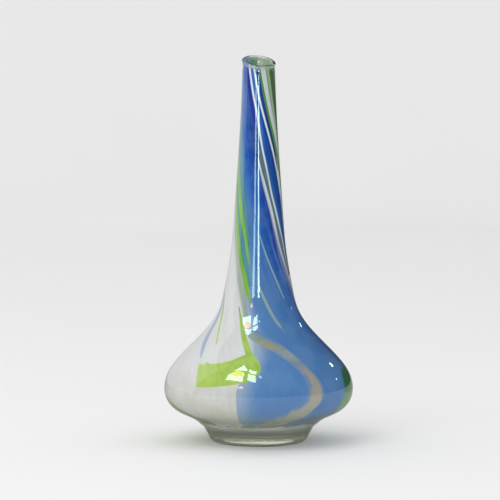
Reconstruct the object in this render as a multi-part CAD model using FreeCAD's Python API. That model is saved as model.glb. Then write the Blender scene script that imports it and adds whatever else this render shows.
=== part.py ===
import FreeCAD, Part
import math
import os

# Hand-blown bottle vase, millimetres, +Z up, front of the vase towards -Y.
# A clear inner bubble is rolled in pieces of coloured glass, cased in clear
# glass, set on a heavy clear foot and finished with a slanted clear lip.

# ---- driving dimensions -------------------------------------------------
TOTAL_HEIGHT = 250.0
FOOT_HEIGHT = 11.0
FOOT_BOTTOM_RADIUS = 28.5
FOOT_EDGE_RADIUS = 32.0
FOOT_EDGE_HEIGHT = 3.4
FOOT_BULGE_RADIUS = 30.8
FOOT_BULGE_HEIGHT = 1.19
FOOT_TOP_RADIUS = 36.4
DIMPLE_RADIUS = 13.0
DIMPLE_DEPTH = 1.2
DIMPLE_SIDE_RADIUS = 9.1
DIMPLE_SIDE_DEPTH = 0.6

CASING_WALL = 1.4
COLOUR_WALL = 0.8
INNER_WALL = 1.2
INNER_FLOOR = 3.2

LIP_SIDE_HEIGHT = 0.4
LIP_CROWN_HEIGHT = 0.9
LIP_OUTER_RADIUS = 10.9
LIP_INNER_RADIUS = 7.2
LIP_SLOPE_BACK = 0.36
LIP_SLOPE_SIDE = -0.11

# outer skin of the bubble as (radius, height), foot to neck
PROFILE = [
    (36.6, 8.5),
    (37.5, 11.0),
    (40.0, 13.5),
    (45.8, 17.0),
    (53.9, 21.0),
    (59.4, 27.0),
    (61.2, 34.0),
    (59.6, 43.0),
    (52.3, 54.0),
    (40.7, 66.0),
    (31.7, 76.0),
    (25.6, 86.0),
    (22.0, 100.0),
    (18.2, 122.0),
    (15.7, 150.0),
    (13.3, 185.0),
    (11.3, 220.0),
    (10.5, 256.0),
]

# the neck was spun while soft: colour lines turn with height
TWIST_RATE = 0.93
TWIST_START = 30.0
TWIST_FULL = 65.0

# radial cutting tools reach past the body, and are laid out in steps
CUT_RADIUS = 110.0
CUT_STEP = 6.0
CUT_TOP = 262.0
COLOUR_LOW = 14.2
WASTE_SIZE = 80.0
HALVINGS = 50

AXIS = FreeCAD.Vector(0, 0, 1)
ORIGIN = FreeCAD.Vector(0, 0, 0)


def point(radius, height):
    """A point of the meridian plane."""
    return FreeCAD.Vector(radius, 0, height)


def spline(points, parameters=None):
    """A smooth curve through the given points."""
    curve = Part.BSplineCurve()
    if parameters is None:
        curve.interpolate(points)
    else:
        curve.interpolate(Points=points, Parameters=parameters)
    return curve


def skin_curve(depth):
    """Meridian of the bubble, moved inwards by depth along its normal."""
    outer = spline([point(r, z) for r, z in PROFILE])
    moved = []
    for r, z in PROFILE:
        place = point(r, z)
        tangent = outer.tangent(outer.parameter(place))[0]
        moved.append(point(r - depth * tangent.z, z + depth * tangent.x))
    return spline(moved)


def parameter_at_height(curve, height):
    """Parameter where a rising meridian passes the given height."""
    low = curve.FirstParameter
    high = curve.LastParameter
    for _ in range(HALVINGS):
        middle = (low + high) / 2
        if curve.value(middle).z < height:
            low = middle
        else:
            high = middle
    return low


def bubble(depth, floor):
    """Solid of revolution inside one skin of the wall, standing on its floor."""
    curve = skin_curve(depth)
    start = parameter_at_height(curve, floor)
    wall = curve.toShape(start, curve.LastParameter)
    low = curve.value(start)
    high = curve.value(curve.LastParameter)
    base = Part.makeLine(point(0, floor), low)
    lid = Part.makeLine(high, point(0, high.z))
    core = Part.makeLine(point(0, high.z), point(0, floor))
    face = Part.Face(Part.Wire([base, wall, lid, core]))
    return face.revolve(ORIGIN, AXIS, 360)


def slant(shape, level):
    """Shape sheared onto the slanted plane of the mouth and raised to level."""
    matrix = FreeCAD.Matrix()
    matrix.A31 = LIP_SLOPE_SIDE
    matrix.A32 = LIP_SLOPE_BACK
    matrix.A34 = level
    return shape.transformGeometry(matrix)


def neck_level():
    """Height on the axis of the slanted plane where the lip sits on the neck."""
    reach = LIP_OUTER_RADIUS * math.hypot(LIP_SLOPE_BACK, LIP_SLOPE_SIDE)
    return TOTAL_HEIGHT - reach - LIP_SIDE_HEIGHT - LIP_CROWN_HEIGHT + lip_crown_drop()


def lip_crown_drop():
    """How far the rounded lip stays below the corner of its envelope."""
    half = (LIP_OUTER_RADIUS - LIP_INNER_RADIUS) / 2
    crown_radius = (half ** 2 + LIP_CROWN_HEIGHT ** 2) / (2 * LIP_CROWN_HEIGHT)
    slope = math.hypot(LIP_SLOPE_BACK, LIP_SLOPE_SIDE)
    return slope * half - crown_radius * (math.sqrt(1 + slope ** 2) - 1)


def waste_above_neck():
    """Slanted block that takes away everything above the neck cut."""
    corner = FreeCAD.Vector(-WASTE_SIZE / 2, -WASTE_SIZE / 2, 0)
    block = Part.makeBox(WASTE_SIZE, WASTE_SIZE, WASTE_SIZE, corner)
    return slant(block, neck_level())


def make_lip():
    """Fire-polished bead of clear glass with a rounded crown."""
    middle = (LIP_INNER_RADIUS + LIP_OUTER_RADIUS) / 2
    inner_low = point(LIP_INNER_RADIUS, 0)
    outer_low = point(LIP_OUTER_RADIUS, 0)
    outer_high = point(LIP_OUTER_RADIUS, LIP_SIDE_HEIGHT)
    crown = point(middle, LIP_SIDE_HEIGHT + LIP_CROWN_HEIGHT)
    inner_high = point(LIP_INNER_RADIUS, LIP_SIDE_HEIGHT)
    edges = [
        Part.makeLine(inner_low, outer_low),
        Part.makeLine(outer_low, outer_high),
        Part.Arc(outer_high, crown, inner_high).toShape(),
        Part.makeLine(inner_high, inner_low),
    ]
    ring = Part.Face(Part.Wire(edges)).revolve(ORIGIN, AXIS, 360)
    return slant(ring, neck_level())


def make_foot():
    """Heavy clear disc with a softened edge and a shallow ground dimple."""
    dimple_top = point(0, DIMPLE_DEPTH)
    dimple_side = point(DIMPLE_SIDE_RADIUS, DIMPLE_SIDE_DEPTH)
    dimple_edge = point(DIMPLE_RADIUS, 0)
    bottom_edge = point(FOOT_BOTTOM_RADIUS, 0)
    shoulder = point(FOOT_EDGE_RADIUS, FOOT_EDGE_HEIGHT)
    bulge = point(FOOT_BULGE_RADIUS, FOOT_BULGE_HEIGHT)
    top_edge = point(FOOT_TOP_RADIUS, FOOT_HEIGHT)
    top_centre = point(0, FOOT_HEIGHT)
    edges = [
        Part.Arc(dimple_top, dimple_side, dimple_edge).toShape(),
        Part.makeLine(dimple_edge, bottom_edge),
        Part.Arc(bottom_edge, bulge, shoulder).toShape(),
        Part.makeLine(shoulder, top_edge),
        Part.makeLine(top_edge, top_centre),
        Part.makeLine(top_centre, dimple_top),
    ]
    return Part.Face(Part.Wire(edges)).revolve(ORIGIN, AXIS, 360)


def twist(height):
    """Degrees a colour line has turned at this height."""
    span = TWIST_FULL - TWIST_START
    t = (height - TWIST_START) / span
    if t <= 0:
        return 0.0
    if t >= 1:
        return TWIST_RATE * (height - TWIST_FULL + span / 2)
    return TWIST_RATE * span * (t ** 3 - t ** 4 / 2)


def between(rows, column, height):
    """Straight interpolation of one column of rows that rise in height."""
    if height <= rows[0][0]:
        return rows[0][column]
    for low, high in zip(rows, rows[1:]):
        if height <= high[0]:
            share = (height - low[0]) / (high[0] - low[0])
            return low[column] + share * (high[column] - low[column])
    return rows[-1][column]


def around(angle, height):
    """Far point at an angle from the front, measured towards +X."""
    turn = math.radians(angle)
    return FreeCAD.Vector(CUT_RADIUS * math.sin(turn), -CUT_RADIUS * math.cos(turn), height)


def edge_line(rows, column):
    """Twisted guide curve of one side of a ribbon, on the cutting radius."""
    low = rows[0][0]
    high = rows[-1][0]
    steps = max(3, int((high - low) / CUT_STEP))
    heights = [low + (high - low) * i / steps for i in range(steps + 1)]
    points = [around(between(rows, column, z) - twist(z), z) for z in heights]
    return spline(points, heights).toShape()


def ribbon_tool(rows):
    """Twisted wedge from the axis outwards; rows are (height, left, right)."""
    low = rows[0][0]
    high = rows[-1][0]
    sides = [(z, left, (left + right) / 2, right) for z, left, right in rows]
    core = Part.makeLine(point(0, low), point(0, high))
    left, middle, right = [edge_line(sides, column) for column in (1, 2, 3)]
    pairs = [(core, left), (left, middle), (middle, right), (core, right)]
    faces = [Part.makeRuledSurface(a, b, 1) for a, b in pairs]
    for row in (sides[0], sides[-1]):
        height = row[0]
        corners = [point(0, height)]
        corners += [around(angle - twist(height), height) for angle in row[1:]]
        faces.append(Part.Face(Part.makePolygon(corners + corners[:1])))
    shell = Part.makeShell(faces)
    shell.sewShape()
    solid = Part.Solid(shell)
    if solid.Volume < 0:
        solid.reverse()
    return solid


def front_tool(edges):
    """Cutter seen from the front: outline in X and Z, driven towards -Y."""
    face = Part.Face(Part.Wire(edges))
    return face.extrude(FreeCAD.Vector(0, -CUT_RADIUS, 0))


def lime_patch_tool():
    """Shard with a torn top edge and a smooth bottom edge."""
    right_low, middle, left_low = [point(x, z) for x, z in LIME_BOTTOM]
    corners = [left_low] + [point(x, z) for x, z in LIME_TORN_EDGE] + [right_low]
    edges = [Part.makeLine(a, b) for a, b in zip(corners, corners[1:])]
    edges.append(Part.Arc(right_low, middle, left_low).toShape())
    return front_tool(edges)


# Ribbons of colour as rows of (height, left angle, right angle). Angles are
# taken from the front before twisting, positive towards +X. A ribbon further
# down the list passes under the ones above it, so they meet without a gap.
RIBBONS = {
    "green_ribbon_left": [(92, 27, 29), (100, 24, 33), (110, 25, 34), (120, 21, 30), (145, 20, 31),
                          (CUT_TOP, 10, 30)],
    "green_thread_left": [(116, 42, 44), (122, 43, 48), (132, 44, 52), (145, 40, 52), (158, 40, 52),
                          (172, 41, 54), (188, 44, 52)],
    "pale_thread_front": [(73, 54, 56), (80, 52, 57), (90, 51, 56), (104, 50, 53)],
    "pale_thread_middle": [(94, 89, 91), (104, 87, 91), (120, 84, 88), (137, 82, 84)],
    "white_thread_low": [(88, 119, 128), (100, 116, 131), (110, 113, 131), (120, 115, 131), (130, 119, 130),
                         (150, 123, 133), (160, 122, 132), (175, 122, 129), (184, 124, 127)],
    "white_thread_middle": [(112, 138, 140), (120, 138, 143), (130, 142, 148), (140, 141, 147), (160, 139, 145),
                            (180, 141, 147), (190, 141, 147), (200, 143, 149), (212, 145, 152),
                            (225, 141, 149), (CUT_TOP, 137, 145)],
    "white_thread_upper": [(128, 179, 181), (140, 177, 184), (160, 176, 188), (180, 177, 184), (190, 175, 182),
                           (200, 171, 178), (210, 166, 173), (220, 162, 169), (230, 160, 167),
                           (CUT_TOP, 156, 165)],
    "green_thread_right": [(140, 189, 191), (165, 190, 200), (180, 191, 205), (190, 191, 203), (200, 189, 198),
                           (210, 184, 193), (220, 181, 190), (230, 180, 188), (CUT_TOP, 178, 186)],
    "white_stripe_right": [(150, 200, 204), (165, 197, 211), (185, 200, 213), (200, 196, 212), (210, 191, 209),
                           (220, 188, 207), (230, 186, 206), (CUT_TOP, 184, 206)],
    "green_ribbon_right": [(128, 224, 228), (150, 214, 240), (165, 205, 246), (185, 207, 250), (200, 204, 252),
                           (230, 198, 254), (CUT_TOP, 197, 256)],
    "green_streak_front": [(49, 1, 3), (55, 2, 9), (62, 2, 8), (70, 3, 9), (78, 4, 8), (85, 5, 8), (89, 5, 7)],
    "green_line_left": [(66, -27, -25), (76, -30, -27), (84, -33, -29), (92, -35, -31), (104, -33, -31)],
    "grey_streak_left": [(57, -42, -40), (60, -44, -39), (70, -49, -41), (80, -48, -39), (88, -45, -37),
                         (98, -39, -37)],
    "green_underside_left": [(COLOUR_LOW, -115, -40), (20, -115, -49), (24, -112, -59), (27, -108, -68),
                             (31, -100, -80), (34, -94, -88)],
    "green_shard_right": [(22, 62, 84), (28, 62, 96), (34, 65, 104), (42, 67, 104), (47, 72, 96), (49, 77, 89)],
}

OLIVE_VEIL = [(COLOUR_LOW, -20, 20), (17, -10, 26), (20, 4, 30), (23, 12, 34), (27, 19, 38), (31, 25, 42),
              (36, 31, 44), (42, 32, 44), (50, 33, 43), (57, 30, 43), (62, 26, 42), (66, 16, 40), (70, 12, 34),
              (75, 11, 23)]

TEAL_RIBBON = [(102, 30, 36), (110, 28, 40), (120, 27, 44), (132, 26, 58), (150, 26, 64), (176, 27, 69),
               (200, 28, 78), (CUT_TOP, 20, 84)]

BLUE_RIBBON_RIGHT = [(108, 124, 165), (118, 124, 180), (128, 124, 186), (140, 126, 190), (165, 127, 195),
                     (180, 126, 198), (190, 125, 197), (200, 125, 193), (210, 125, 188), (220, 125, 185),
                     (230, 124, 184), (CUT_TOP, 124, 182)]

BLUE_SHEET = [(COLOUR_LOW, -14, 122), (20, -14, 125), (41, -13, 128), (52, -3, 131), (60, 8, 132),
              (66, 13, 131), (72, 17, 130), (80, 18, 128), (88, 19, 126), (97, 24, 122), (107, 30, 121),
              (120, 36, 124), (140, 44, 129), (160, 48, 129), (186, 55, 128), (CUT_TOP, 60, 127)]

# outline of the lime patch seen from the front as (x, height): the torn top
# edge from left to right, then the smooth bottom edge back to the left
LIME_TORN_EDGE = [(-37.9, 54), (-34.7, 53.4), (-32.5, 55.4), (-30.3, 54.3), (-23.8, 55.3), (-17.2, 57),
                  (-12.5, 59), (-6.4, 61.5)]
LIME_BOTTOM = [(-1.1, 46.5), (-22, 42.2), (-39.7, 40.3)]

# the veil parts the blue sheet in two, named from the larger to the smaller
PARTED = {"blue_sheet": ["blue_neck_sheet", "blue_front_panel"]}


def named_solids(name, shape):
    """Pair each solid of a shape with its name, the largest first."""
    names = PARTED.get(name, [name])
    solids = sorted(shape.Solids, key=lambda solid: -solid.Volume)
    if len(solids) != len(names):
        raise ValueError("%s came out in %d solids" % (name, len(solids)))
    return zip(names, solids)


def make_colour_pieces(layer):
    """Cut the colour layer into named pieces that meet face to face."""
    cutters = {"lime_patch": lime_patch_tool()}
    for name, rows in RIBBONS.items():
        cutters[name] = ribbon_tool(rows)
    cutters["olive_veil"] = ribbon_tool(OLIVE_VEIL)
    cutters["teal_ribbon"] = ribbon_tool(TEAL_RIBBON)
    cutters["blue_ribbon_right"] = ribbon_tool(BLUE_RIBBON_RIGHT)
    cutters["blue_sheet"] = ribbon_tool(BLUE_SHEET)
    pieces = {}
    rest = layer
    for name, cutter in cutters.items():
        pieces[name] = rest.common(cutter)
        rest = rest.cut(cutter)
    pieces["opal_ground"] = rest
    return pieces


def save(name, shape):
    """Write one solid of the vase."""
    shape.exportStep(os.path.join("parts", name + ".step"))


def main():
    os.makedirs("parts", exist_ok=True)
    colour_floor = FOOT_HEIGHT + CASING_WALL
    inner_floor = colour_floor + COLOUR_WALL
    cavity_floor = inner_floor + INNER_FLOOR
    waste = waste_above_neck()
    skins = [
        bubble(0, FOOT_HEIGHT),
        bubble(CASING_WALL, colour_floor),
        bubble(CASING_WALL + COLOUR_WALL, inner_floor),
        bubble(CASING_WALL + COLOUR_WALL + INNER_WALL, cavity_floor),
    ]
    skins = [skin.cut(waste) for skin in skins]
    save("outer_casing", skins[0].cut(skins[1]))
    save("inner_wall", skins[2].cut(skins[3]))
    save("foot", make_foot())
    save("rim_lip", make_lip())
    layer = skins[1].cut(skins[2])
    for name, piece in make_colour_pieces(layer).items():
        for label, solid in named_solids(name, piece):
            save(label, solid)


main()
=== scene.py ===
import math

import bpy
import numpy as np
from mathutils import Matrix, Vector, noise


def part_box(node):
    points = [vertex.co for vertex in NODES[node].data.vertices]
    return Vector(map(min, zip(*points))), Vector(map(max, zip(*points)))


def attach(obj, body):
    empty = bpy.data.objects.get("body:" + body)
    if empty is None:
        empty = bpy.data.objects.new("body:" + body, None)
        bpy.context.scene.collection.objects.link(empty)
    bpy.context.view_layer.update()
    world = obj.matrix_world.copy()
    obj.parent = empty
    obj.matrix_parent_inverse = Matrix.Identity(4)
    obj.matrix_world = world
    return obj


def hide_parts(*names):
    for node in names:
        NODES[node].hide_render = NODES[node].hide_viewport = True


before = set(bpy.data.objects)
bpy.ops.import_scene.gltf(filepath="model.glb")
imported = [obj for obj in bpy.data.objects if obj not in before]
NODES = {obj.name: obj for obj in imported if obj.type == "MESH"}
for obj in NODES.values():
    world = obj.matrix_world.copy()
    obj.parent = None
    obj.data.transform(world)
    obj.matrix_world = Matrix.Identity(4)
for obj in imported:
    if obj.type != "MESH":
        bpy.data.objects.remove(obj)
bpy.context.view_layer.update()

MM = 0.001

# ---------------------------------------------------------------- settings
TURNS = 160                 # facets around the vase
SKIN_STEP = 1.2 * MM        # height of one ring of a skin that shows
HIDDEN_STEP = 4.0 * MM      # height of one ring of a skin inside the colour
TUCK = 0.35 * MM            # how far a clear skin is sunk into the colour
WAVE = 0.10 * MM            # unevenness of the blown surface
CORNER = 0.8 * MM           # height of the rounding where bubble meets foot
CORNER_STEP = 0.1 * MM      # height of one ring of that rounding
BEND_FROM = 215 * MM        # above this the rings lean into the slanted mouth
FACING = 0.2                # least radial part of a normal on a skin
RIM_BAND = 0.02 * MM        # how near the widest radius the lip's side is
TABLE_STEP = 0.5 * MM       # spacing of the tables of radius by height
WINDOW = 2.5 * MM           # reach of the smoothing in those tables
LIP_SIDE = 0.3              # share of the lip below its rounded crown
LIP_CROWN = 0.84            # crown's height as a share of the room above
CAVITY_CORNER = 2.0 * MM    # height of the rounding of the cavity floor
CAVITY_SPREAD = 1.6         # width of that rounding over its height
GROUND_REACH = 2.0 * MM     # the foot's underside lies below this
GROUND_FLAT = 0.01 * MM     # and its flat ring below this
SOFT_EDGE = 0.5 * MM        # width of the softened edge under the foot
EDGE_RISE = 0.05 * MM       # and its height
BULGE_LOW = 0.25 * MM       # the foot's bulge is ringed finely from here
BULGE_HIGH = 3.4 * MM       # up to here
BULGE_STEP = 0.3 * MM
FLARE_LOW = 3.9 * MM        # and the flare above it more coarsely
FLARE_STEP = 0.6 * MM
FLARE_GAP = 0.4 * MM        # room left below the joint with the bubble


# ---------------------------------------------------------------- measures
def skin_of(node, side, smooth=True):
    """Radius by height on the outer or inner skin of a node, and its foot."""
    found = []
    for vertex in NODES[node].data.vertices:
        place = vertex.co
        radius = math.hypot(place.x, place.y)
        if radius < MM:
            continue
        facing = (vertex.normal.x * place.x + vertex.normal.y * place.y) / radius
        if facing * side > FACING:
            found.append((place.z, radius))
    data = np.array(sorted(found))
    heights = data[:, 0]
    radii = data[:, 1]
    if smooth:
        heights = np.arange(data[0, 0], data[-1, 0] + TABLE_STEP, TABLE_STEP)
        radii = []
        for height in heights:
            near = data[np.abs(data[:, 0] - height) < WINDOW]
            fit = np.polyfit((near[:, 0] - height) / WINDOW, near[:, 1], 2)
            radii.append(float(fit[-1]))

    def radius_at(height):
        return float(np.interp(height, heights, radii))

    return radius_at, float(data[0, 0])


def lip_plane():
    """Slope of the mouth in X and Y, and the heights and radii of the lip."""
    points = [v.co for v in NODES["rim_lip"].data.vertices]
    widest = max(math.hypot(p.x, p.y) for p in points)
    outer = [p for p in points if math.hypot(p.x, p.y) > widest - RIM_BAND]
    table = np.array([(p.x, p.y, 1.0) for p in outer])
    target = np.array([p.z for p in outer])
    slope_x, slope_y, _ = np.linalg.lstsq(table, target, rcond=None)[0]
    level = [p.z - slope_x * p.x - slope_y * p.y for p in points]
    narrowest = min(math.hypot(p.x, p.y) for p in points)
    return float(slope_x), float(slope_y), min(level), max(level), narrowest, widest


SLOPE_X, SLOPE_Y, LIP_LOW, LIP_HIGH, LIP_IN, LIP_OUT = lip_plane()
FOOT_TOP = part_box("foot")[1][2]
OUTER, _ = skin_of("outer_casing", 1)
CASING_INNER, CASING_FLOOR = skin_of("outer_casing", -1)
INNER_OUTER, INNER_LOW = skin_of("inner_wall", 1)
CAVITY, CAVITY_FLOOR = skin_of("inner_wall", -1)
FOOT, _ = skin_of("foot", 1, smooth=False)
FOOT_JOINT = FOOT(FOOT_TOP)


# ---------------------------------------------------------------- geometry
def ripple(place):
    """Inward unevenness of the blown glass, drawn out along the neck."""
    spot = Vector((place.x / (9 * MM), place.y / (9 * MM), place.z / (26 * MM)))
    return WAVE * (0.5 + 0.5 * noise.noise(spot))


def lean_at(height):
    """How far a ring follows the slant of the mouth, 0 to 1."""
    share = (height - BEND_FROM) / (LIP_LOW - BEND_FROM)
    return min(max(share, 0.0), 1.0)


def ring(radius_at, height, lean=0.0, uneven=False):
    """Ring of points around the axis on a surface of revolution."""
    points = []
    for k in range(TURNS):
        turn = 2 * math.pi * k / TURNS
        side = Vector((math.sin(turn), -math.cos(turn), 0))
        reach = radius_at(height)
        rise = lean * reach * (SLOPE_X * side.x + SLOPE_Y * side.y)
        radius = radius_at(height + rise)
        place = side * radius + Vector((0, 0, height + rise))
        if uneven:
            place = place - side * ripple(place)
        points.append(place)
    return points


def steps(low, high, step):
    """Evenly spaced values from low to high."""
    count = max(2, round(abs(high - low) / step))
    return [low + (high - low) * i / count for i in range(count + 1)]


def turned(name, strips, nodes, material):
    """Smooth turned piece made of strips of rings, standing in for its nodes."""
    points = []
    faces = []
    for strip in strips:
        previous = None
        for row in strip:
            start = len(points)
            points.extend(row)
            current = [start + k for k in range(len(row))]
            if previous is not None:
                for k in range(TURNS):
                    n = (k + 1) % TURNS
                    if len(current) == 1:
                        faces.append((previous[k], previous[n], current[0]))
                    elif len(previous) == 1:
                        faces.append((previous[0], current[n], current[k]))
                    else:
                        faces.append((previous[k], previous[n], current[n], current[k]))
            previous = current
    mesh = bpy.data.meshes.new(name)
    mesh.from_pydata(points, [], faces)
    mesh.polygons.foreach_set("use_smooth", [True] * len(faces))
    mesh.update()
    piece = bpy.data.objects.new(name, mesh)
    bpy.context.scene.collection.objects.link(piece)
    mesh.materials.append(material)
    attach(piece, "root")
    if nodes:
        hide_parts(*nodes)
    return piece


def centre(height):
    """Row of one point on the axis."""
    return [Vector((0, 0, height))]


def casing_radius(height):
    """Outer skin, rounded in where it sits on the foot."""
    share = (height - FOOT_TOP) / CORNER
    radius = OUTER(max(height, FOOT_TOP))
    if share < 1:
        drop = 1 - math.sqrt(max(0.0, 1 - (1 - max(share, 0.0)) ** 2))
        radius -= (OUTER(FOOT_TOP) - FOOT_JOINT) * drop
    return radius


def casing_strips():
    """Outer skin going up, and the skin on the colour going down."""
    heights = steps(FOOT_TOP, FOOT_TOP + CORNER, CORNER_STEP)
    heights += steps(FOOT_TOP + CORNER, LIP_LOW, SKIN_STEP)[1:]
    outside = [ring(casing_radius, z, lean_at(z), True) for z in heights]
    low = CASING_FLOOR + TUCK
    heights = steps(LIP_LOW, low, HIDDEN_STEP)
    inside = [ring(lambda z: CASING_INNER(z) - TUCK, z, lean_at(z)) for z in heights]
    inside.append(centre(low))
    return [outside, inside]


def inner_strips():
    """Cavity skin going down to the floor, and the skin on the colour."""
    heights = steps(LIP_LOW, CAVITY_FLOOR + CAVITY_CORNER, SKIN_STEP)
    cavity = [ring(CAVITY, z, lean_at(z)) for z in heights]
    edge = CAVITY(CAVITY_FLOOR + CAVITY_CORNER)
    for angle in (20, 45, 70, 90):
        turn = math.radians(angle)
        z = CAVITY_FLOOR + CAVITY_CORNER * (1 - math.sin(turn))
        radius = edge - CAVITY_CORNER * CAVITY_SPREAD * (1 - math.cos(turn))
        cavity.append(ring(lambda _, r=radius: r, z))
    cavity.append(ring(lambda _: edge / 2, CAVITY_FLOOR))
    cavity.append(centre(CAVITY_FLOOR))
    low = INNER_LOW - TUCK
    backing = [centre(low)]
    for height in steps(low, LIP_LOW, HIDDEN_STEP):
        backing.append(ring(lambda z: INNER_OUTER(z) + TUCK, height, lean_at(height)))
    return [cavity, backing]


def lip_strips():
    """Bead of the mouth, from the neck over the round crown to the bore."""
    half = (LIP_OUT - LIP_IN) / 2
    middle = LIP_IN + half
    side = LIP_LOW + (LIP_HIGH - LIP_LOW) * LIP_SIDE
    rise = (LIP_HIGH - side) * LIP_CROWN
    neck = OUTER(LIP_LOW) - WAVE / 2
    rows = [ring(casing_radius, LIP_LOW, 1.0, True)]
    for share in (0.33, 0.67, 1.0):
        ease = share * share * (3 - 2 * share)
        height = LIP_LOW + (side - LIP_LOW) * share
        rows.append(ring(lambda _, r=neck + (LIP_OUT - neck) * ease: r, height, 1.0))
    for angle in range(12, 181, 12):
        turn = math.radians(angle)
        radius = middle + half * math.cos(turn)
        rows.append(ring(lambda _, r=radius: r, side + rise * math.sin(turn), 1.0))
    bore = CAVITY(LIP_LOW)
    for share in (0.5, 1.0):
        height = side + (LIP_LOW - side) * share
        rows.append(ring(lambda _, r=LIP_IN + (bore - LIP_IN) * share: r, height, 1.0))
    rows[-1] = ring(CAVITY, LIP_LOW, 1.0)
    return [rows]


def foot_strips():
    """Ground bottom with its dimple, then the side up to the bubble."""
    bottom = [v.co for v in NODES["foot"].data.vertices if v.co.z < GROUND_REACH]
    crown = max(p.z for p in bottom if math.hypot(p.x, p.y) < MM)
    flat = [math.hypot(p.x, p.y) for p in bottom if p.z < GROUND_FLAT]
    dimple, rim = min(flat), max(flat)
    rows = [centre(crown)]
    for share in (0.2, 0.4, 0.6, 0.8, 0.9, 1.0):
        rows.append(ring(lambda _, r=dimple * share: r, crown * (1 - share * share)))
    rows.append(ring(lambda _: (dimple + rim) / 2, 0.0))
    rows.append(ring(lambda _: rim - SOFT_EDGE, 0.0))
    rows.append(ring(lambda _: rim, EDGE_RISE))
    rows += [ring(FOOT, z) for z in steps(BULGE_LOW, BULGE_HIGH, BULGE_STEP)]
    rows += [ring(FOOT, z) for z in steps(FLARE_LOW, FOOT_TOP - FLARE_GAP, FLARE_STEP)]
    rows.append(ring(casing_radius, FOOT_TOP, 0.0, True))
    return [rows]


# --------------------------------------------------------------- materials
def linear(red, green, blue):
    """Linear colour from 0-255 display values."""
    def channel(value):
        value = value / 255
        return value / 12.92 if value <= 0.04045 else ((value + 0.055) / 1.055) ** 2.4
    return (channel(red), channel(green), channel(blue), 1.0)


class Wires:
    """Short hand for wiring nodes in one tree."""

    def __init__(self, tree):
        self.tree = tree

    def put(self, socket, value):
        if isinstance(value, bpy.types.NodeSocket):
            self.tree.links.new(value, socket)
        elif value is not None:
            socket.default_value = value

    def node(self, kind, **settings):
        made = self.tree.nodes.new(kind)
        for key, value in settings.items():
            setattr(made, key, value)
        return made

    def math(self, operation, a, b=None, c=None, clamp=False):
        made = self.node("ShaderNodeMath", operation=operation, use_clamp=clamp)
        for socket, value in zip(made.inputs, (a, b, c)):
            self.put(socket, value)
        return made.outputs[0]

    def ramp(self, value, low, high, smooth=True):
        """0 at low, 1 at high."""
        kind = "SMOOTHSTEP" if smooth else "LINEAR"
        made = self.node("ShaderNodeMapRange", interpolation_type=kind, clamp=True)
        self.put(made.inputs["Value"], value)
        if low > high:
            made.inputs["From Min"].default_value = high
            made.inputs["From Max"].default_value = low
            made.inputs["To Min"].default_value = 1.0
            made.inputs["To Max"].default_value = 0.0
        else:
            made.inputs["From Min"].default_value = low
            made.inputs["From Max"].default_value = high
        return made.outputs["Result"]

    def mix(self, factor, a, b, blend="MIX"):
        made = self.node("ShaderNodeMix", data_type="RGBA", blend_type=blend)
        self.put(made.inputs[0], factor)
        self.put(made.inputs[6], a)
        self.put(made.inputs[7], b)
        return made.outputs[2]

    def vector(self, x, y, z):
        made = self.node("ShaderNodeCombineXYZ")
        for socket, value in zip(made.inputs, (x, y, z)):
            self.put(socket, value)
        return made.outputs[0]

    def noise(self, vector, scale, detail=2.0, rough=0.5):
        """Noise value, mostly 0.3 to 0.7."""
        made = self.node("ShaderNodeTexNoise")
        self.put(made.inputs["Vector"], vector)
        made.inputs["Scale"].default_value = scale
        made.inputs["Detail"].default_value = detail
        made.inputs["Roughness"].default_value = rough
        return made.outputs["Fac"]

    def bands(self, value, stops):
        """Colour that changes along a value; stops are (value, colour)."""
        low = stops[0][0]
        high = stops[-1][0]
        share = self.ramp(value, low, high, smooth=False)
        made = self.node("ShaderNodeValToRGB")
        made.color_ramp.interpolation = "EASE"
        elements = made.color_ramp.elements
        while len(elements) < len(stops):
            elements.new(0.5)
        for element, (place, _) in zip(elements, stops):
            element.position = (place - low) / (high - low)
        for element, (_, colour) in zip(elements, stops):
            element.color = linear(*colour)
        self.put(made.inputs["Fac"], share)
        return made.outputs["Color"]

    def curve(self, value, points, low, high):
        """Smooth curve through (value, result) points, between low and high."""
        made = self.node("ShaderNodeFloatCurve")
        first = points[0][0]
        last = points[-1][0]
        line = made.mapping.curves[0]
        while len(line.points) < len(points):
            line.points.new(0.5, 0.5)
        for point, (place, result) in zip(line.points, points):
            point.location = ((place - first) / (last - first), (result - low) / (high - low))
        made.mapping.update()
        self.put(made.inputs["Value"], self.ramp(value, first, last, smooth=False))
        return self.math("MULTIPLY_ADD", made.outputs["Value"], high - low, low)


TWIST_RATE = 0.93           # degrees per millimetre of height
TWIST_START = 30.0          # height where the twist begins
TWIST_FULL = 65.0           # height from which it is steady
TURN_LOW = -100.0           # the turn runs once round between these
TURN_HIGH = 260.0
WOBBLE = 5.0                # degrees by which colour edges wander
WOBBLE_SCALE = 0.045
STREAK_RISE = 0.0022        # how slowly fine lines change along the twist


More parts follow.
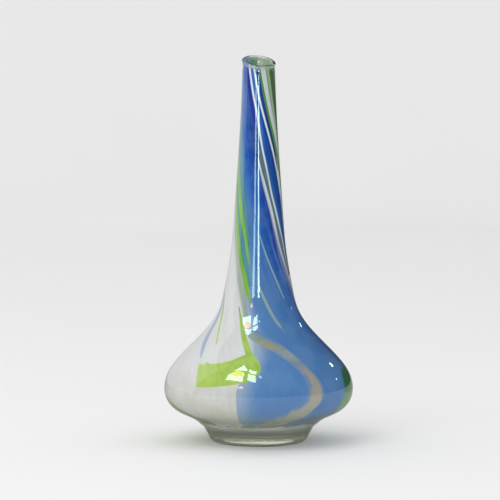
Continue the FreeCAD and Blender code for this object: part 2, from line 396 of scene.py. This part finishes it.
def twist_group():
    """Node group that gives a point's place on the twisted sheet of colour."""
    tree = bpy.data.node_groups.new("twisted_sheet", "ShaderNodeTree")
    for name in ("Height", "Across", "Turn", "Mouth"):
        tree.interface.new_socket(name, in_out="OUTPUT", socket_type="NodeSocketFloat")
    for name in ("Streak", "Place"):
        tree.interface.new_socket(name, in_out="OUTPUT", socket_type="NodeSocketVector")
    w = Wires(tree)
    where = w.node("ShaderNodeTexCoord").outputs["Object"]
    scaled = w.node("ShaderNodeVectorMath", operation="SCALE")
    w.put(scaled.inputs[0], where)
    scaled.inputs["Scale"].default_value = 1 / MM
    parts = w.node("ShaderNodeSeparateXYZ")
    w.put(parts.inputs[0], scaled.outputs[0])
    x, y, z = parts.outputs
    angle = w.math("DEGREES", w.math("ARCTAN2", x, w.math("MULTIPLY", y, -1.0)))
    span = TWIST_FULL - TWIST_START
    t = w.math("DIVIDE", w.math("SUBTRACT", z, TWIST_START), span, clamp=True)
    cube = w.math("POWER", t, 3.0)
    fourth = w.math("POWER", t, 4.0)
    soft = w.math("MULTIPLY", w.math("MULTIPLY_ADD", fourth, -0.5, cube), span)
    rest = w.math("MAXIMUM", w.math("SUBTRACT", z, TWIST_FULL), 0.0)
    turned_by = w.math("MULTIPLY", w.math("ADD", soft, rest), TWIST_RATE)
    unwound = w.math("ADD", angle, turned_by)
    wobble = w.noise(scaled.outputs[0], WOBBLE_SCALE)
    unwound = w.math("MULTIPLY_ADD", w.math("SUBTRACT", wobble, 0.5), WOBBLE, unwound)
    turn = w.math("WRAP", unwound, TURN_HIGH, TURN_LOW)
    radians = w.math("RADIANS", unwound)
    rise = w.math("MULTIPLY", z, STREAK_RISE)
    streak = w.vector(w.math("COSINE", radians), w.math("SINE", radians), rise)
    tilt = w.math("MULTIPLY_ADD", x, SLOPE_X, w.math("MULTIPLY", y, SLOPE_Y))
    mouth = w.math("SUBTRACT", w.math("SUBTRACT", z, tilt), LIP_LOW / MM)
    out = w.node("NodeGroupOutput")
    for name, socket in (("Height", z), ("Across", x), ("Turn", turn), ("Mouth", mouth),
                         ("Streak", streak), ("Place", scaled.outputs[0])):
        w.put(out.inputs[name], socket)
    return tree


TWISTED = twist_group()


LIP_FADE = (-2.4, -0.8)     # millimetres below the lip where the colour thins
GRAIN_DEPTH = 0.00015       # relief of the grain, in metres


class Colour(Wires):
    """Wiring of one opaque colour of the sheet."""

    def __init__(self, name):
        self.material = bpy.data.materials.new(name)
        self.material.use_nodes = True
        Wires.__init__(self, self.material.node_tree)
        sheet = self.node("ShaderNodeGroup", node_tree=TWISTED)
        self.z = sheet.outputs["Height"]
        self.x = sheet.outputs["Across"]
        self.turn = sheet.outputs["Turn"]
        self.mouth = sheet.outputs["Mouth"]
        self.streak = sheet.outputs["Streak"]
        self.place = sheet.outputs["Place"]
        self.shader = self.tree.nodes["Principled BSDF"]

    def threads(self, count, low=0.38, high=0.62):
        """Fine lines of colour drawn along the twist, 0 to 1."""
        return self.ramp(self.noise(self.streak, count, 3.0, 0.55), low, high)

    def clouds(self, size, low=0.35, high=0.65):
        """Soft patches of the given size in millimetres, 0 to 1."""
        return self.ramp(self.noise(self.place, 1 / size, 3.0, 0.5), low, high)

    def finish(self, colour, roughness=0.42):
        """Connect the colour with its fine grain, gloss and relief."""
        grain = self.noise(self.streak, 55.0, 4.0, 0.6)
        fine = self.ramp(grain, 0.3, 0.7, smooth=False)
        shade = self.math("MULTIPLY_ADD", fine, 0.10, 0.95)
        lip = self.math("MULTIPLY", self.ramp(self.mouth, *LIP_FADE), 0.62)
        thinned = self.mix(lip, colour, linear(162, 178, 176))
        toned = self.mix(1.0, thinned, self.grey(shade), "MULTIPLY")
        self.put(self.shader.inputs["Base Color"], toned)
        self.put(self.shader.inputs["Roughness"], self.math("MULTIPLY_ADD", fine, 0.16, roughness - 0.08))
        self.shader.inputs["Specular IOR Level"].default_value = 0.12
        bump = self.node("ShaderNodeBump")
        bump.inputs["Strength"].default_value = 0.35
        bump.inputs["Distance"].default_value = GRAIN_DEPTH
        self.put(bump.inputs["Height"], grain)
        self.put(self.shader.inputs["Normal"], bump.outputs["Normal"])
        return self.material

    def grey(self, value):
        """Colour with the same value in all three channels."""
        made = self.node("ShaderNodeCombineColor")
        for socket in made.inputs[:3]:
            self.put(socket, value)
        return made.outputs[0]


# edges of the blue sheet, of the blue ribbon's tail and of the veil, as (height, turn)
BLUE_EDGE = [(14.0, -14.0), (41.0, -13.0), (52.0, -3.0), (60.0, 8.0), (66.0, 13.0),
             (72.0, 17.0), (80.0, 18.0), (88.0, 19.0), (97.0, 24.0), (110.0, 33.0)]
RIBBON_TAIL = [(106.0, 136.0), (116.0, 146.0), (130.0, 158.0), (150.0, 171.0),
               (172.0, 182.0), (200.0, 198.0), (255.0, 199.0)]
VEIL_LEFT = [(14.0, -20.0), (20.0, 4.0), (23.0, 12.0), (27.0, 19.0), (31.0, 25.0), (36.0, 31.0),
             (50.0, 33.0), (57.0, 30.0), (62.0, 26.0), (66.0, 16.0), (70.0, 12.0), (75.0, 11.0)]
VEIL_RIGHT = [(14.0, 20.0), (20.0, 30.0), (23.0, 34.0), (27.0, 38.0), (31.0, 42.0), (36.0, 44.0),
              (57.0, 43.0), (62.0, 42.0), (66.0, 40.0), (70.0, 34.0), (75.0, 23.0)]


def past_blue_edge(c):
    """Degrees to the right of the blue sheet's left edge."""
    return c.math("SUBTRACT", c.turn, c.curve(c.z, BLUE_EDGE, -20.0, 40.0))


def opal_white():
    c = Colour("opal white glass")
    body = c.bands(c.z, [(14, (172, 178, 154)), (24, (198, 199, 184)), (38, (205, 206, 200)),
                         (62, (212, 214, 214)), (110, (211, 213, 212)), (150, (205, 210, 206)),
                         (200, (196, 208, 202)), (250, (200, 212, 204))])
    cloudy = c.mix(c.math("MULTIPLY", c.clouds(16), 0.45), body, linear(222, 225, 225))
    ghost = c.math("MULTIPLY", c.threads(5.0, 0.52, 0.72), 0.30)
    faint = c.mix(ghost, cloudy, linear(186, 190, 200))
    drawn = c.math("MULTIPLY", c.threads(7.0, 0.54, 0.70), c.ramp(c.turn, 140, 190))
    streaked = c.mix(c.math("MULTIPLY", drawn, 0.5), faint, linear(164, 184, 196))
    beside = c.math("MULTIPLY", c.ramp(past_blue_edge(c), -12, 1), c.ramp(c.turn, 90, 50))
    near_blue = c.math("MULTIPLY", beside, c.math("MULTIPLY", c.ramp(c.z, 52, 60), c.ramp(c.z, 104, 92)))
    hazed = c.mix(c.math("MULTIPLY", near_blue, 0.75), streaked, linear(158, 176, 184))
    strip = c.math("MULTIPLY", c.ramp(c.turn, 8, 15), c.ramp(c.turn, 36, 24))
    shade = c.math("MULTIPLY", strip, c.ramp(c.z, 72, 84))
    shaded = c.mix(c.math("MULTIPLY", shade, 0.7), hazed, linear(132, 156, 132))
    back = c.math("MULTIPLY", c.ramp(c.z, 205, 235), c.ramp(c.turn, -8, -18))
    return c.finish(c.mix(c.math("MULTIPLY", back, 0.7), shaded, linear(160, 208, 110)))


def blue_field(c):
    """Colour of the blue sheet from the belly to the mouth."""
    low = c.bands(c.turn, [(-14, (88, 132, 186)), (20, (84, 130, 186)), (50, (74, 122, 178)),
                           (80, (62, 112, 172)), (104, (48, 100, 168)), (128, (34, 84, 150))])
    middle = c.bands(c.turn, [(24, (92, 140, 170)), (44, (104, 148, 188)), (60, (72, 116, 176)),
                              (82, (58, 108, 176)), (90, (2, 78, 166)), (102, (0, 74, 160)),
                              (108, (62, 104, 178)), (114, (34, 60, 138)), (126, (40, 84, 160))])
    high = c.bands(c.turn, [(50, (66, 128, 154)), (64, (70, 124, 172)), (78, (62, 112, 184)),
                            (88, (26, 90, 178)), (100, (4, 74, 166)), (112, (2, 68, 160)),
                            (122, (0, 40, 136)), (128, (4, 56, 150))])
    top = c.bands(c.turn, [(78, (92, 124, 164)), (90, (64, 114, 178)), (102, (52, 100, 180)),
                           (112, (24, 86, 174)), (120, (30, 76, 166)), (127, (24, 66, 156))])
    belly_to_root = c.mix(c.ramp(c.z, 92, 114), low, middle)
    root_to_neck = c.mix(c.ramp(c.z, 126, 152), belly_to_root, high)
    return c.mix(c.ramp(c.z, 200, 228), root_to_neck, top)


def steel_blue():
    c = Colour("steel blue glass")
    cloudy = c.mix(c.math("MULTIPLY", c.clouds(14), 0.22), blue_field(c), linear(112, 152, 194))
    lines = c.math("MULTIPLY", c.threads(9.0, 0.50, 0.70), c.ramp(c.z, 76, 120))
    streaked = c.mix(c.math("MULTIPLY", lines, 0.40), cloudy, linear(16, 78, 168))
    pale = c.math("MULTIPLY", c.threads(14.0, 0.56, 0.74), c.ramp(c.z, 90, 120))
    lit = c.mix(c.math("MULTIPLY", pale, 0.32), streaked, linear(124, 160, 208))
    fade = c.math("MULTIPLY", c.ramp(past_blue_edge(c), 15, 0), c.ramp(c.z, 108, 96))
    faded = c.mix(c.math("MULTIPLY", fade, 0.62), lit, linear(176, 192, 202))
    murky = c.math("MULTIPLY", c.ramp(c.z, 29, 15), 0.72)
    return c.finish(c.mix(murky, faded, linear(126, 152, 152)))


def royal_blue():
    c = Colour("royal blue glass")
    low = c.bands(c.turn, [(124, (30, 60, 140)), (132, (96, 116, 124)), (138, (84, 116, 108)),
                           (141, (60, 96, 140)), (149, (40, 92, 160)), (158, (0, 72, 156)),
                           (170, (0, 62, 144)),
                           (178, (14, 44, 110)), (190, (20, 52, 96)), (199, (16, 50, 70))])
    high = c.bands(c.turn, [(124, (56, 74, 164)), (134, (30, 54, 146)), (146, (58, 96, 178)),
                            (154, (56, 112, 188)), (162, (0, 70, 158)), (172, (0, 58, 142)),
                            (180, (8, 44, 116)), (186, (20, 80, 70)), (199, (30, 70, 60))])
    body = c.mix(c.ramp(c.z, 184, 208), low, high)
    lines = c.math("MULTIPLY", c.threads(16.0, 0.50, 0.68), 0.42)
    streaked = c.mix(lines, body, linear(44, 104, 186))
    dark = c.math("MULTIPLY", c.threads(11.0, 0.56, 0.72), 0.5)
    deep = c.mix(dark, streaked, linear(0, 36, 108))
    past = c.math("SUBTRACT", c.turn, c.curve(c.z, RIBBON_TAIL, 130.0, 200.0))
    ragged = c.math("MULTIPLY_ADD", c.threads(20.0, 0.35, 0.65), 9.0, past)
    return c.finish(c.mix(c.ramp(ragged, 3.0, 11.0), deep, linear(208, 212, 210)))


def teal():
    c = Colour("teal glass")
    body = c.bands(c.z, [(100, (48, 124, 136)), (124, (58, 128, 142)), (150, (84, 140, 142)),
                         (175, (82, 142, 152)), (215, (92, 136, 160)), (260, (104, 136, 166))])
    lines = c.mix(c.math("MULTIPLY", c.threads(13.0), 0.45), body, linear(110, 164, 170))
    return c.finish(c.mix(c.math("MULTIPLY", c.threads(19.0, 0.55, 0.7), 0.4), lines, linear(74, 134, 116)))


def leaf_green():
    c = Colour("leaf green glass")
    body = c.bands(c.z, [(14, (100, 132, 46)), (21, (108, 144, 54)), (30, (84, 126, 40)),
                         (90, (124, 160, 84)), (100, (112, 172, 48)),
                         (140, (118, 180, 66)), (172, (120, 178, 84)),
                         (200, (110, 166, 96)), (250, (104, 168, 50))])
    lines = c.mix(c.math("MULTIPLY", c.threads(17.0), 0.5), body, linear(158, 196, 100))
    dark = c.mix(c.math("MULTIPLY", c.threads(12.0, 0.56, 0.7), 0.5), lines, linear(70, 136, 46))
    right = c.math("MULTIPLY", c.math("MULTIPLY", c.ramp(c.turn, 150, 170), c.ramp(c.z, 60, 80)), 0.85)
    return c.finish(c.mix(right, dark, linear(72, 130, 70)))


def deep_green():
    c = Colour("deep green glass")
    low = c.bands(c.z, [(22, (116, 164, 112)), (33, (96, 154, 84)), (36, (26, 104, 34)),
                        (44, (30, 100, 40)), (49, (44, 104, 90))])
    high = c.bands(c.turn, [(197, (70, 110, 56)), (208, (100, 134, 74)), (212, (150, 178, 140)),
                            (218, (158, 186, 148)), (223, (70, 104, 58)), (234, (56, 90, 50)),
                            (246, (84, 118, 86)), (256, (60, 90, 60))])
    body = c.mix(c.ramp(c.z, 60, 80), low, high)
    lines = c.mix(c.math("MULTIPLY", c.threads(15.0, 0.46, 0.62), 0.3), body, linear(130, 164, 118))
    return c.finish(c.mix(c.math("MULTIPLY", c.threads(10.0, 0.54, 0.68), 0.4), lines, linear(44, 76, 44)))


def lime_green():
    c = Colour("lime green glass")
    body = c.bands(c.x, [(-41, (186, 210, 124)), (-34, (172, 204, 98)), (-20, (160, 196, 82)),
                         (-6, (154, 190, 80)), (14, (148, 186, 84))])
    veined = c.mix(c.math("MULTIPLY", c.clouds(7), 0.5), body, linear(188, 212, 112))
    lines = c.mix(c.math("MULTIPLY", c.threads(14.0, 0.52, 0.7), 0.40), veined, linear(132, 174, 60))
    high = c.mix(c.math("MULTIPLY", c.ramp(c.z, 74, 90), 0.7), lines, linear(124, 162, 76))
    return c.finish(high)


def cane_white():
    c = Colour("white cane glass")
    body = c.bands(c.z, [(85, (150, 156, 160)), (110, (160, 160, 168)), (128, (176, 178, 188)),
                         (150, (198, 206, 212)), (190, (206, 218, 226)), (218, (222, 230, 238)),
                         (250, (222, 230, 236))])
    lines = c.mix(c.math("MULTIPLY", c.threads(24.0), 0.4), body, linear(228, 238, 246))
    dull = c.mix(c.math("MULTIPLY", c.threads(15.0, 0.50, 0.66), 0.5), lines, linear(140, 150, 166))
    stripe = c.math("MULTIPLY", c.ramp(c.turn, 182, 186), 0.6)
    striped = c.mix(stripe, dull, linear(184, 188, 188))
    bluish = c.math("MULTIPLY", c.ramp(c.turn, 126.0, 123.0), c.ramp(c.z, 185, 150))
    shaded = c.mix(c.math("MULTIPLY", bluish, 0.78), striped, linear(52, 88, 164))
    pale_teal = c.math("MULTIPLY", c.ramp(c.turn, 104, 98), 0.8)
    return c.finish(c.mix(pale_teal, shaded, linear(138, 176, 172)))


def grey_blue():
    c = Colour("grey blue glass")
    body = c.bands(c.z, [(56, (176, 188, 202)), (66, (150, 168, 194)), (98, (116, 138, 182))])
    return c.finish(c.mix(c.math("MULTIPLY", c.threads(18.0), 0.4), body, linear(164, 180, 206)))


def olive():
    c = Colour("olive veil glass")
    body = c.bands(c.z, [(14, (146, 150, 124)), (21, (160, 162, 142)), (31, (170, 170, 158)),
                         (38, (160, 154, 142)), (48, (152, 146, 138)), (55, (124, 140, 156)),
                         (61, (124, 146, 162)), (66, (148, 148, 122)), (71, (124, 146, 140)),
                         (76, (120, 142, 128)), (79, (132, 158, 170)), (104, (150, 172, 176)),
                         (140, (140, 172, 180))])
    cloudy = c.mix(c.math("MULTIPLY", c.clouds(8), 0.35), body, linear(168, 170, 156))
    left = c.math("SUBTRACT", c.turn, c.curve(c.z, VEIL_LEFT, -25.0, 50.0))
    right = c.math("SUBTRACT", c.curve(c.z, VEIL_RIGHT, -25.0, 50.0), c.turn)
    blotch = c.math("MULTIPLY", c.clouds(9), 5.0)
    soft_left = c.ramp(c.math("SUBTRACT", left, blotch), 5.0, -3.0)
    high = c.ramp(c.z, 62, 68)
    soft_right = c.mix(high, c.grey(c.ramp(right, 3.0, 0.0)), c.grey(c.ramp(right, 12.0, 0.0)))
    blue = linear(86, 132, 184)
    haze = c.mix(high, blue, linear(150, 170, 176))
    low = c.ramp(c.z, 77, 75)
    from_left = c.mix(c.math("MULTIPLY", c.math("MULTIPLY", soft_left, low), 0.85), cloudy, haze)
    return c.finish(c.mix(c.math("MULTIPLY", c.math("MULTIPLY", soft_right, low), 0.9), from_left, blue))


def foot_bands(w, where):
    """Green streaks drawn round the foot, changing with height."""
    scaled = w.node("ShaderNodeVectorMath", operation="MULTIPLY")
    w.put(scaled.inputs[0], where)
    scaled.inputs[1].default_value = (22.0, 22.0, 120.0)
    height = w.node("ShaderNodeSeparateXYZ")
    w.put(height.inputs[0], where)
    drift = w.math("MULTIPLY", w.math("SUBTRACT", w.noise(scaled.outputs[0], 1.0, 3.0), 0.5), 5.0)
    level = w.math("MULTIPLY_ADD", height.outputs["Z"], 1000.0, drift)
    return w.bands(level, [(0.0, (226, 234, 222)), (1.4, (184, 202, 192)), (2.6, (158, 176, 120)),
                           (3.6, (246, 248, 226)), (5.0, (250, 250, 234)), (6.2, (186, 208, 146)),
                           (7.2, (244, 248, 236)), (8.2, (172, 194, 190)), (9.2, (250, 252, 250))])


def clear_glass(name, tint, ground=False):
    """Clear glass: smooth, slightly uneven, with a fire-polished gloss."""
    material = bpy.data.materials.new(name)
    material.use_nodes = True
    w = Wires(material.node_tree)
    shader = material.node_tree.nodes["Principled BSDF"]
    shader.inputs["Base Color"].default_value = tint
    shader.inputs["Transmission Weight"].default_value = 1.0
    shader.inputs["IOR"].default_value = 1.5
    shader.inputs["Coat Weight"].default_value = 1.0
    shader.inputs["Coat IOR"].default_value = 1.55
    shader.inputs["Coat Roughness"].default_value = 0.02
    where = w.node("ShaderNodeTexCoord").outputs["Object"]
    smear = w.noise(where, 60.0, 3.0, 0.55)
    rough = w.math("MULTIPLY_ADD", w.ramp(smear, 0.35, 0.75), 0.03, 0.0)
    if ground:
        parts = w.node("ShaderNodeSeparateXYZ")
        w.put(parts.inputs[0], where)
        rough = w.math("MULTIPLY_ADD", w.ramp(parts.outputs["Z"], 0.0006, 0.0001), 0.4, rough)
        w.put(shader.inputs["Base Color"], foot_bands(w, where))
    w.put(shader.inputs["Roughness"], rough)
    bump = w.node("ShaderNodeBump")
    bump.inputs["Strength"].default_value = 0.25
    bump.inputs["Distance"].default_value = 0.0004
    w.put(bump.inputs["Height"], w.noise(where, 110.0, 2.0, 0.4))
    w.put(shader.inputs["Normal"], bump.outputs["Normal"])
    return material


def is_clear(piece):
    """Let light reach the colour under a clear skin without caustic noise."""
    piece.visible_diffuse = False
    piece.visible_shadow = False


SLOT_MATERIALS = {
    "opal_white": opal_white(),
    "steel_blue": steel_blue(),
    "royal_blue": royal_blue(),
    "teal": teal(),
    "leaf_green": leaf_green(),
    "deep_green": deep_green(),
    "lime_green": lime_green(),
    "cane_white": cane_white(),
    "grey_blue": grey_blue(),
    "olive": olive(),
}

CLEAR = {"outer_casing", "inner_wall", "foot", "rim_lip"}

for name, node in NODES.items():
    if name in CLEAR:
        continue
    for holder in node.material_slots:
        slot = holder.material.name.split(".")[0]
        holder.material = SLOT_MATERIALS[slot]

is_clear(turned("casing_skin", casing_strips(), ["outer_casing"],
                clear_glass("clear casing glass", (1.0, 1.0, 1.0, 1.0))))
is_clear(turned("cavity_skin", inner_strips(), ["inner_wall"],
                clear_glass("clear inner glass", (1.0, 1.0, 1.0, 1.0))))
is_clear(turned("lip_bead", lip_strips(), ["rim_lip"],
                clear_glass("clear lip glass", (0.97, 0.985, 0.965, 1.0))))
is_clear(turned("foot_disc", foot_strips(), ["foot"],
                clear_glass("clear foot glass", (0.90, 0.95, 0.88, 1.0), ground=True)))


# ---------------------------------------------------------------- the stage
def stage_piece(name, points, faces, material):
    mesh = bpy.data.meshes.new(name)
    mesh.from_pydata(points, [], faces)
    mesh.polygons.foreach_set("use_smooth", [True] * len(faces))
    mesh.update()
    piece = bpy.data.objects.new(name, mesh)
    bpy.context.scene.collection.objects.link(piece)
    mesh.materials.append(material)
    return piece


def pale_surface():
    """Matt pale paper with the faintest unevenness."""
    material = bpy.data.materials.new("pale floor")
    material.use_nodes = True
    w = Wires(material.node_tree)
    shader = material.node_tree.nodes["Principled BSDF"]
    where = w.node("ShaderNodeTexCoord").outputs["Object"]
    cloud = w.noise(where, 3.0, 3.0, 0.5)
    paper = w.mix(cloud, (0.90, 0.90, 0.90, 1.0), (0.93, 0.93, 0.93, 1.0))
    path = w.node("ShaderNodeLightPath")
    mirrored = w.math("MULTIPLY", path.outputs["Is Glossy Ray"], path.outputs["Is Reflection Ray"])
    w.put(shader.inputs["Base Color"], w.mix(mirrored, paper, (0.36, 0.37, 0.36, 1.0)))
    shader.inputs["Roughness"].default_value = 0.9
    shader.inputs["Specular IOR Level"].default_value = 0.1
    return material


def make_floor():
    """Round floor, and a backdrop that sweeps up all round without casting shade."""
    flat = 2.3
    bend = 0.9
    around = 96
    paper = pale_surface()
    sweep = []
    for angle in range(0, 91, 6):
        turn = math.radians(angle)
        sweep.append((flat + bend * math.sin(turn), bend * (1 - math.cos(turn))))
    sweep.append((flat + bend, 3.4))
    for name, line in (("floor", [(0.4, 0.0), (flat, 0.0)]), ("backdrop", sweep)):
        points = []
        for radius, z in line:
            for k in range(around):
                turn = 2 * math.pi * k / around
                points.append((radius * math.sin(turn), -radius * math.cos(turn), z))
        faces = []
        for row in range(len(line) - 1):
            for k in range(around):
                n = (k + 1) % around
                low = row * around
                faces.append((low + k, low + around + k, low + around + n, low + n))
        if name == "floor":
            faces.append(tuple(range(around)))
        piece = stage_piece(name, points, faces, paper)
        if name == "backdrop":
            piece.visible_glossy = False
            piece.visible_diffuse = False
            piece.visible_shadow = False


make_floor()


def make_world():
    """Even white room light, dimmer where it is mirrored in the glass."""
    world = bpy.data.worlds.new("studio")
    bpy.context.scene.world = world
    world.use_nodes = True
    w = Wires(world.node_tree)
    back = world.node_tree.nodes["Background"]
    path = w.node("ShaderNodeLightPath")
    mirrored = w.math("MULTIPLY", path.outputs["Is Glossy Ray"], path.outputs["Is Reflection Ray"])
    w.put(back.inputs["Color"], w.mix(mirrored, (1.0, 1.0, 1.0, 1.0), (0.035, 0.045, 0.05, 1.0)))
    back.inputs["Strength"].default_value = 0.85


make_world()


def area_light(name, place, target, size_x, size_y, power):
    """Soft box aimed at a point."""
    data = bpy.data.lights.new(name, "AREA")
    data.shape = "RECTANGLE"
    data.size = size_x
    data.size_y = size_y
    data.energy = power
    lamp = bpy.data.objects.new(name, data)
    lamp.location = place
    lamp.rotation_euler = (Vector(target) - Vector(place)).to_track_quat("-Z", "Y").to_euler()
    lamp.visible_glossy = False
    bpy.context.scene.collection.objects.link(lamp)


def window(name, corners, strength, tint):
    """Bright pane that shows only as a reflection in the glass."""
    material = bpy.data.materials.new(name)
    material.use_nodes = True
    tree = material.node_tree
    tree.nodes.remove(tree.nodes["Principled BSDF"])
    glow = tree.nodes.new("ShaderNodeEmission")
    glow.inputs["Color"].default_value = tint
    glow.inputs["Strength"].default_value = strength
    tree.links.new(glow.outputs[0], tree.nodes["Material Output"].inputs["Surface"])
    face = [tuple(range(len(corners)))]
    pane = stage_piece(name, corners, face, material)
    pane.visible_camera = False
    pane.visible_diffuse = False
    pane.visible_transmission = False
    pane.visible_shadow = False


COOL = (0.72, 1.0, 1.0, 1.0)
WARM = (1.0, 0.66, 0.12, 1.0)
SOFT = (1.0, 1.0, 1.0, 1.0)
DARK = (0.0, 0.0, 0.0, 1.0)
ROOM = 2.0                  # distance of the tall windows
CEILING = 1.25              # height of the roof window above the belly
LAMP_DROP = 0.9             # height of the roof lamp over that of the window
BELLY = Vector((0.0, -0.054, 0.05))     # where the belly mirrors the roof
NECK_ROOT = Vector((0.0, 0.0, 0.09))    # where the small lamps are seen from
SIDE_WALL = -2.0            # X of the soft wall on the left
BACK_WALL = 2.4             # Y of the soft wall at the back
WALL_TOP = 3.0

# strength of each roof pane, and its corners as slopes from the belly
ROOF_PANES = [
    (7.5, [(-0.77, -0.53), (-0.42, -0.82), (-0.25, -0.35), (-0.53, -0.30)]),
    (7.5, [(-0.41, -0.235), (-0.19, -0.32), (-0.20, -0.25), (-0.25, -0.18)]),
    (7.5, [(-0.155, -0.277), (-0.032, -0.361), (-0.042, -0.462), (-0.171, -0.364)]),
    (7.5, [(-0.195, -0.407), (-0.048, -0.499), (-0.067, -0.979), (-0.24, -0.702)]),
    (5.0, [(0.0, -0.48), (0.035, -0.52), (0.06, -0.62), (0.01, -0.60)]),
]

# name, turn and rise in degrees, radius, strength and tint of the small lamps
SMALL_LAMPS = [
    ("lamp_root", -23.0, 26.0, 0.06, 6.0, WARM),
    ("spark_1", 134.6, 23.5, 0.022, 12.0, COOL),
    ("spark_2", 137.7, 32.7, 0.026, 12.0, COOL),
    ("spark_3", 117.3, 15.0, 0.02, 12.0, COOL),
]


def tall_window(name, low_turn, high_turn, low, high, strength):
    """Upright pane in front of the vase, between two angles from the front."""
    corners = []
    for turn, height in ((low_turn, low), (high_turn, low), (high_turn, high), (low_turn, high)):
        angle = math.radians(turn)
        corners.append((ROOM * math.sin(angle), -ROOM * math.cos(angle), height))
    window(name, corners, strength, COOL)


def roof_point(x, y, height):
    """Point over the belly, from its slopes and its height."""
    return BELLY + Vector((x, y, 1.0)) * height


def oval(middle, across, upward, count):
    """Corners of an oval, from its middle and its two half axes."""
    corners = []
    for k in range(count):
        angle = 2 * math.pi * k / count
        corners.append(middle + across * math.cos(angle) + upward * math.sin(angle))
    return corners


def small_lamp(name, turn, rise, radius, strength, tint):
    """Round lamp a metre from the neck's root, at a turn and a rise in degrees."""
    side = Vector((math.sin(math.radians(turn)), -math.cos(math.radians(turn)), 0))
    beam = side * math.cos(math.radians(rise)) + Vector((0, 0, math.sin(math.radians(rise))))
    across = side.cross(Vector((0, 0, 1)))
    upward = across.cross(beam)
    window(name, oval(NECK_ROOT + beam, across * radius, upward * radius, 16), strength, tint)


def upright(x_low, x_high, y_low, y_high, low, high):
    """Corners of an upright pane over a line on the floor."""
    return [(x_low, y_low, low), (x_high, y_high, low), (x_high, y_high, high), (x_low, y_low, high)]


def make_reflections():
    """Everything that shows only as a reflection in the glass."""
    tall_window("window_left", -22.0, -14.0, 0.30, 0.72, 4.5)
    tall_window("window_right", -3.5, 2.5, 0.28, 0.74, 10.0)
    for number, (strength, slopes) in enumerate(ROOF_PANES, 1):
        corners = [roof_point(x, y, CEILING) for x, y in slopes]
        window(f"roof_pane_{number}", corners, strength, COOL)
    height = LAMP_DROP * CEILING
    middle = roof_point(-0.39, -0.36, height)
    half_x = Vector((0.115 * height, 0, 0))
    half_y = Vector((0, 0.10 * height, 0))
    window("lamp_roof", oval(middle, half_x, half_y, 24), 5.5, WARM)
    for lamp in SMALL_LAMPS:
        small_lamp(*lamp)
    side = upright(SIDE_WALL, SIDE_WALL, -0.2, BACK_WALL, 0.0, WALL_TOP)
    window("soft_left", side, 0.6, SOFT)
    back = upright(SIDE_WALL, -0.05, BACK_WALL, BACK_WALL, 0.0, WALL_TOP)
    window("soft_back", back, 0.6, SOFT)
    # keeps the tall windows off the belly
    card = upright(-0.24, 0.24, -0.30, -0.30, 0.03, 0.148)
    window("black_card", card, 0.0, DARK)


make_reflections()
area_light("key", (-0.9, -1.2, 1.5), (0, 0, 0.1), 1.2, 1.2, 9.0)

# ---------------------------------------------------------------- the camera
camera_data = bpy.data.cameras.new("camera")
camera_data.sensor_width = 36.0
camera_data.lens = 178.5
camera = bpy.data.objects.new("camera", camera_data)
camera.location = (0.0, -1.6, 0.2384)
aim = Vector((-0.0056, 0.0, 0.1242))
camera.rotation_euler = (aim - camera.location).to_track_quat("-Z", "Y").to_euler()
bpy.context.scene.collection.objects.link(camera)
bpy.context.scene.camera = camera
bpy.context.scene.view_settings.view_transform = "Standard"
